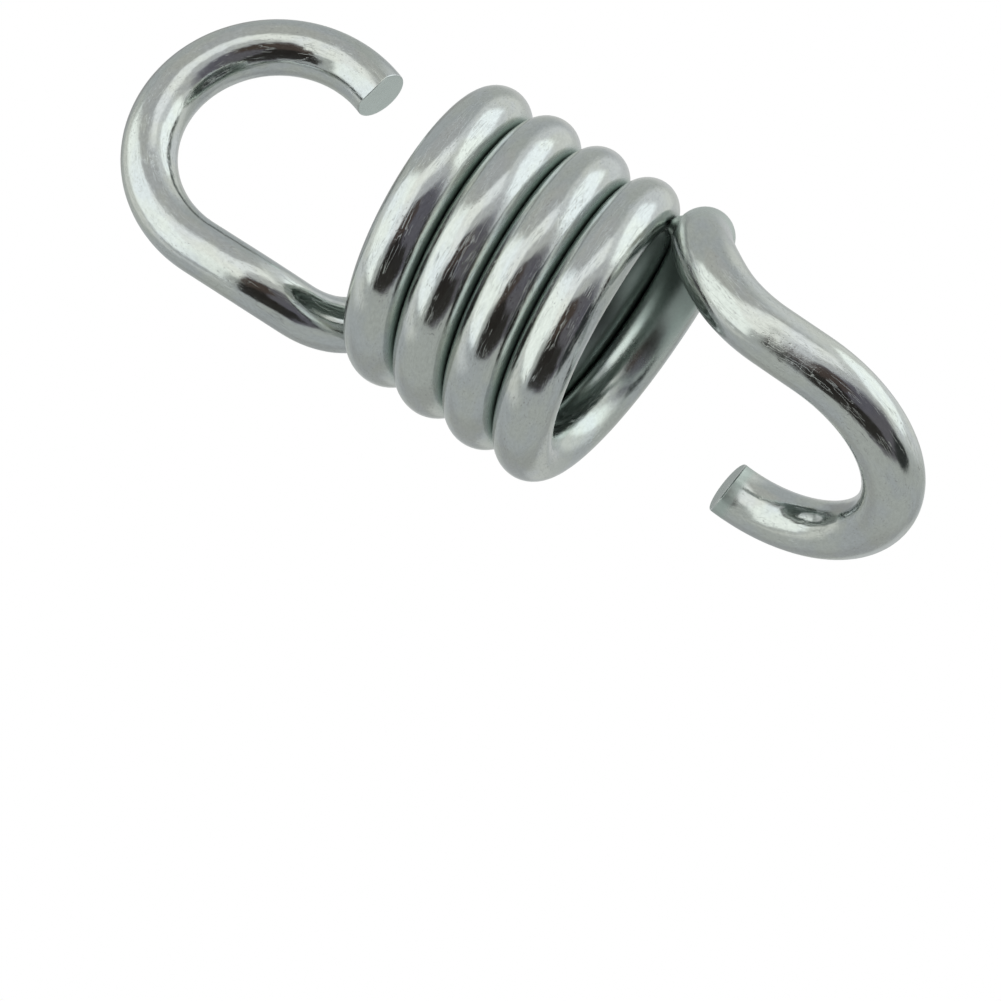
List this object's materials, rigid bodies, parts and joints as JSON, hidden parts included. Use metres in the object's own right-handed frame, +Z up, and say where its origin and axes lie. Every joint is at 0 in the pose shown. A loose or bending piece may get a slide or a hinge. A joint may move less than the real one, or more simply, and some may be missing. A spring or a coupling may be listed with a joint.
{
  "type": "swing hanger spring",
  "caption": "Heavy close-wound extension spring of round zinc-plated wire, with an open hook at each end, for hanging a swing or hammock.",
  "frame": {"origin": "the top of the upper hook's inside, where a hanger carries the spring", "axes": "+Z up along the coil's axis, from the lower hook to the upper one; the upper hook's loop stands in the XZ plane, with its shank at -X and its mouth at +X"},
  "size_m": [0.0456, 0.0481, 0.1244],
  "materials": {
    "zinc_plate": "gloss"
  },
  "bodies": {
    "root": {"spring_wire": "zinc_plate"}
  },
  "joints": []
}
